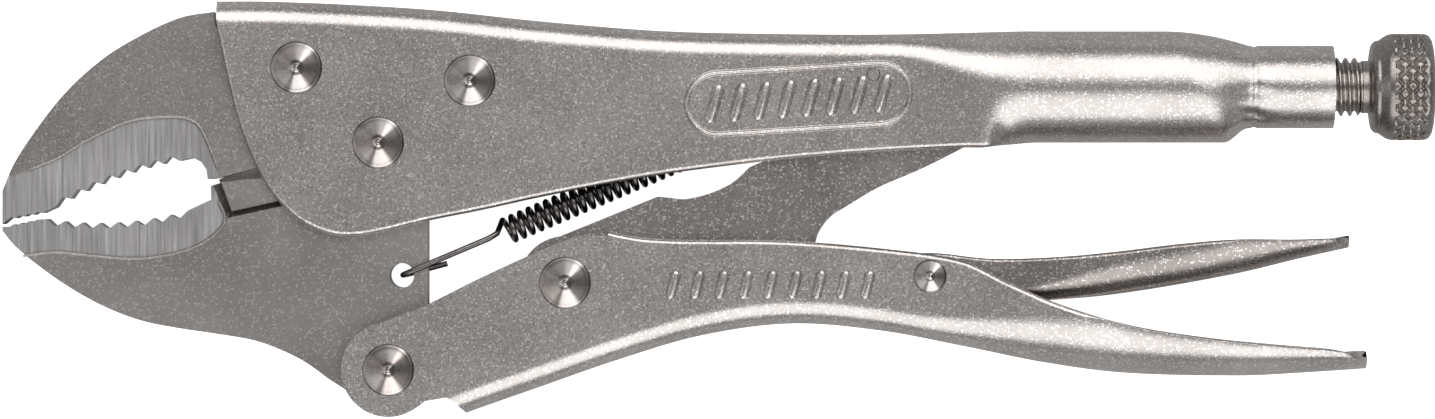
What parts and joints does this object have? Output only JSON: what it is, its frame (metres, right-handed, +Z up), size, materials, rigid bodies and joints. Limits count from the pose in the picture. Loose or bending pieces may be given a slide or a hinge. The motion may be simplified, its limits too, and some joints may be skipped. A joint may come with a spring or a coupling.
{
  "type": "locking pliers",
  "caption": "Curved-jaw locking pliers: folded-steel handles, toothed forged jaws, toggle link, release lever, opening spring and a knurled adjusting screw.",
  "frame": {"origin": "middle of the bounding box at its lowest face, with the pliers lying on their side", "axes": "+X from the jaws along the handles to the adjusting knob, +Y from the moving handle to the fixed handle, +Z up through the thickness"},
  "size_m": [0.2434, 0.0706, 0.019],
  "materials": {
    "plated_handle_steel": "satin nickel plate over pressed sheet",
    "plated_link_steel": "satin nickel plate over pressed sheet",
    "forged_jaw_steel": "matt plated forging with ground grip faces",
    "rivet_steel": "turned heads",
    "spring_steel": "oiled dark wire",
    "screw_steel": "rolled thread and diamond knurl"
  },
  "bodies": {
    "fixed_handle_frame": {"fixed_handle": "plated_handle_steel", "fixed_jaw": "forged_jaw_steel", "fixed_jaw_rivet_front": "rivet_steel", "fixed_jaw_rivet_rear": "rivet_steel", "jaw_pivot_rivet": "rivet_steel", "spring_anchor_pin": "rivet_steel", "tension_spring": "spring_steel"},
    "jaw_body": {"moving_jaw": "forged_jaw_steel"},
    "handle_body": {"moving_handle": "plated_handle_steel", "handle_pivot_rivet": "rivet_steel", "link_rivet": "rivet_steel", "lever_rivet": "rivet_steel"},
    "link_body": {"toggle_link": "plated_link_steel"},
    "lever_body": {"release_lever": "plated_link_steel"},
    "screw_body": {"adjusting_screw": "screw_steel"},
    "knob_body": {"adjusting_knob": "screw_steel"}
  },
  "joints": [
    {"name": "jaw_open", "type": "hinge", "parent": "fixed_handle_frame", "child": "jaw_body", "pos_m": [-0.0577, 0.0113, 0.0095], "axis": [0, 0, 1], "range_deg": [0, 16], "deforming": ["tension_spring"]},
    {"name": "handle_swing", "type": "hinge", "parent": "jaw_body", "child": "handle_body", "pos_m": [-0.056, -0.0273, 0.0095], "axis": [0, 0, 1], "range_deg": [-56.5, 0]},
    {"name": "link_swing", "type": "hinge", "parent": "handle_body", "child": "link_body", "pos_m": [-0.026, -0.0125, 0.0095], "axis": [0, 0, 1], "range_deg": [0, 58]},
    {"name": "lever_press", "type": "hinge", "parent": "handle_body", "child": "lever_body", "pos_m": [0.0359, -0.0114, 0.0095], "axis": [0, 0, 1], "range_deg": [-8, 0]},
    {"name": "screw_travel", "type": "slide", "parent": "fixed_handle_frame", "child": "screw_body", "axis": [1, 0, 0], "range_m": [0, 0.018]},
    {"name": "knob_turn", "type": "hinge", "parent": "screw_body", "child": "knob_body", "pos_m": [0.1143, 0.0208, 0.0095], "axis": [1, 0, 0], "range_deg": [0, 4325]}
  ],
  "couplings": [
    {"joint": "handle_swing", "follows": "jaw_open", "ratio": -3.5},
    {"joint": "link_swing", "follows": "jaw_open", "ratio": 3.6},
    {"joint": "knob_turn", "follows": "screw_travel", "rad_per_m": 4188.8}
  ]
}
